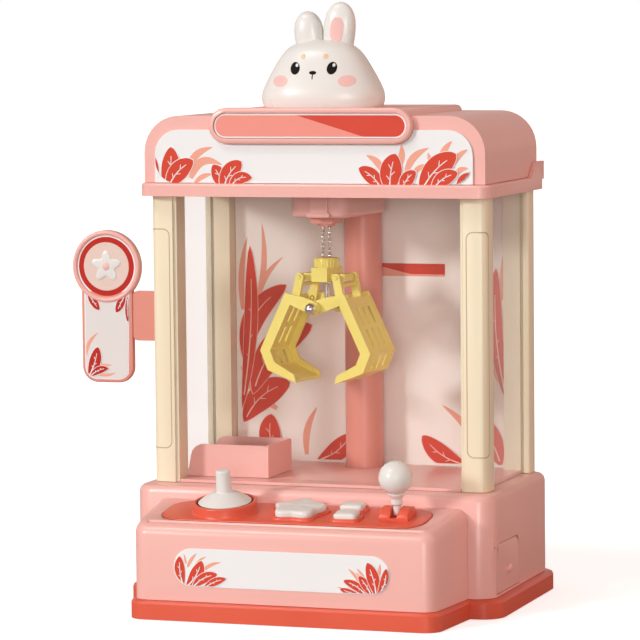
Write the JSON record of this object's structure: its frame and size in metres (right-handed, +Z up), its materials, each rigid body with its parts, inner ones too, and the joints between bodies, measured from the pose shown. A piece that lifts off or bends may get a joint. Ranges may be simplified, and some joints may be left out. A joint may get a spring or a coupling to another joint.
{
  "type": "claw crane machine",
  "caption": "Tabletop toy claw crane: pink cabinet with windows, sloping console with joystick and lever, swinging boom with a chain-hung claw, prize ramp and doors.",
  "frame": {"origin": "middle of the main block's footprint on the underside of the tray", "axes": "+X to the machine's right as a player sees it, +Y to the rear, +Z up"},
  "size_m": [0.3108, 0.2092, 0.407],
  "materials": {
    "pink_shell": "gloss",
    "coral_red": "gloss",
    "rose_shell": "gloss",
    "cream_pillar": "satin",
    "printed_pale": "satin",
    "white_gloss": "gloss",
    "claw_yellow": "gloss",
    "grey_plastic": "matte",
    "nylon_gear": "satin",
    "bright_steel": "polished",
    "board_green": "satin",
    "clear_window": "clear"
  },
  "bodies": {
    "cabinet": {"base_shell": "pink_shell", "console_shell": "pink_shell", "chute_fence": "pink_shell", "lip_frame": "pink_shell", "header_shell": "pink_shell", "nameplate_frame": "pink_shell", "base_tray": "coral_red", "battery_cover": "coral_red", "control_panel": "coral_red", "lever_saddle": "coral_red", "nameplate_insert": "coral_red", "sign_disc": "coral_red", "sign_bracket": "rose_shell", "sign_board": "rose_shell", "pillar_front_left": "cream_pillar", "pillar_front_right": "cream_pillar", "pillar_rear_left": "cream_pillar", "pillar_rear_right": "cream_pillar", "play_floor": "printed_pale", "chute_ramp": "printed_pale", "header_panel": "white_gloss", "topper_head": "white_gloss", "battery_box": "grey_plastic", "speaker": "grey_plastic", "joystick_base": "grey_plastic", "swing_bracket": "grey_plastic", "top_bridge": "grey_plastic", "battery_1": "bright_steel", "battery_2": "bright_steel", "battery_3": "bright_steel", "usb_inlet": "bright_steel", "swing_motor": "bright_steel", "circuit_board": "board_green", "front_window": "clear_window", "left_window": "clear_window", "right_window": "clear_window"},
    "boom": {"boom_arm": "rose_shell", "boom_column": "rose_shell", "column_gear": "nylon_gear"},
    "swing_pinion": {"swing_pinion": "nylon_gear"},
    "trolley": {"trolley": "printed_pale", "winch_motor": "bright_steel"},
    "winch_drum": {"winch_drum": "nylon_gear"},
    "claw_hub": {"claw_hub": "claw_yellow", "chain_left": "bright_steel", "chain_right": "bright_steel"},
    "claw_pin": {"claw_pin": "bright_steel"},
    "jaw_left": {"jaw_left": "claw_yellow"},
    "jaw_right": {"jaw_right": "claw_yellow"},
    "link_left": {"link_left": "claw_yellow"},
    "link_right": {"link_right": "claw_yellow"},
    "gimbal": {"joystick_gimbal": "grey_plastic"},
    "joystick": {"joystick": "white_gloss"},
    "flower_button": {"flower_button": "white_gloss"},
    "square_button_front": {"square_button_front": "white_gloss"},
    "square_button_rear": {"square_button_rear": "white_gloss"},
    "lever": {"lever": "white_gloss"},
    "prize_door": {"prize_door": "pink_shell"},
    "back_door": {"back_door": "printed_pale"},
    "power_switch": {"power_switch": "grey_plastic"}
  },
  "joints": [
    {"name": "boom_swing", "type": "hinge", "parent": "cabinet", "child": "boom", "pos_m": [0, 0.047, 0.27], "axis": [0, 0, 1], "range_deg": [-45, 55]},
    {"name": "pinion_spin", "type": "hinge", "parent": "cabinet", "child": "swing_pinion", "pos_m": [0.02145, 0.047, 0.07], "axis": [0, 0, 1], "range_deg": [-135, 112]},
    {"name": "trolley_slide", "type": "slide", "parent": "boom", "child": "trolley", "axis": [0.0872, 0.9962, 0], "range_m": [0, 0.02]},
    {"name": "claw_hoist", "type": "slide", "parent": "trolley", "child": "claw_hub", "axis": [0, 0, -1], "range_m": [-0.004, 0.042]},
    {"name": "drum_spin", "type": "hinge", "parent": "trolley", "child": "winch_drum", "pos_m": [-0.00491, -0.00909, 0.287], "axis": [0.9962, -0.0872, 0], "range_deg": [-36, 377]},
    {"name": "claw_open", "type": "hinge", "parent": "claw_pin", "child": "jaw_left", "pos_m": [-0.00547, -0.01546, 0.2], "axis": [0.1564, 0.9877, 0], "range_deg": [0, 22], "stiffness_Nm_per_rad": 0.02, "springref_deg": -17.19},
    {"name": "pin_slide", "type": "slide", "parent": "claw_hub", "child": "claw_pin", "axis": [0, 0, -1], "range_m": [0, 0.0068]},
    {"name": "jaw_right_open", "type": "hinge", "parent": "claw_pin", "child": "jaw_right", "pos_m": [-0.00547, -0.01546, 0.2], "axis": [0.1564, 0.9877, 0], "range_deg": [-22, 0]},
    {"name": "link_left_turn", "type": "hinge", "parent": "claw_hub", "child": "link_left", "pos_m": [-0.01929, -0.01327, 0.2205], "axis": [0.1564, 0.9877, 0], "range_deg": [-10.6, 0]},
    {"name": "link_right_turn", "type": "hinge", "parent": "claw_hub", "child": "link_right", "pos_m": [0.00836, -0.01765, 0.2205], "axis": [0.1564, 0.9877, 0], "range_deg": [0, 10.6]},
    {"name": "stick_tilt_fore", "type": "hinge", "parent": "cabinet", "child": "gimbal", "pos_m": [-0.05, -0.09822, 0.07027], "axis": [1, 0, 0], "range_deg": [-8, 8], "stiffness_Nm_per_rad": 0.15},
    {"name": "stick_tilt_side", "type": "hinge", "parent": "gimbal", "child": "joystick", "pos_m": [-0.05, -0.09822, 0.07027], "axis": [0, 0.989, 0.1478], "range_deg": [-8, 8], "stiffness_Nm_per_rad": 0.15},
    {"name": "flower_press", "type": "slide", "parent": "cabinet", "child": "flower_button", "axis": [0, 0.1478, -0.989], "range_m": [0, 0.003], "stiffness_N_per_m": 300, "springref_m": -0.001},
    {"name": "front_square_press", "type": "slide", "parent": "cabinet", "child": "square_button_front", "axis": [0, 0.1478, -0.989], "range_m": [0, 0.0025], "stiffness_N_per_m": 300, "springref_m": -0.001},
    {"name": "rear_square_press", "type": "slide", "parent": "cabinet", "child": "square_button_rear", "axis": [0, 0.1478, -0.989], "range_m": [0, 0.0025], "stiffness_N_per_m": 300, "springref_m": -0.001},
    {"name": "lever_rock", "type": "hinge", "parent": "cabinet", "child": "lever", "pos_m": [0.07, -0.0976, 0.07289], "axis": [1, 0, 0], "range_deg": [-20, 20], "stiffness_Nm_per_rad": 0.2},
    {"name": "prize_door_hinge", "type": "hinge", "parent": "cabinet", "child": "prize_door", "pos_m": [0.1252, -0.03275, 0.0462], "axis": [0, -1, 0], "range_deg": [0, 75]},
    {"name": "back_door_hinge", "type": "hinge", "parent": "cabinet", "child": "back_door", "pos_m": [-0.0984, 0.0648, 0.18], "axis": [0, 0, 1], "range_deg": [0, 105]},
    {"name": "switch_slide", "type": "slide", "parent": "cabinet", "child": "power_switch", "axis": [1, 0, 0], "range_m": [0, 0.004]}
  ],
  "couplings": [
    {"joint": "pinion_spin", "follows": "boom_swing", "ratio": -2.4},
    {"joint": "drum_spin", "follows": "claw_hoist", "rad_per_m": 156.25},
    {"joint": "jaw_right_open", "follows": "claw_open", "ratio": -1},
    {"joint": "pin_slide", "follows": "claw_open", "m_per_rad": 0.01719},
    {"joint": "link_left_turn", "follows": "claw_open", "ratio": -0.473},
    {"joint": "link_right_turn", "follows": "claw_open", "ratio": 0.473}
  ]
}
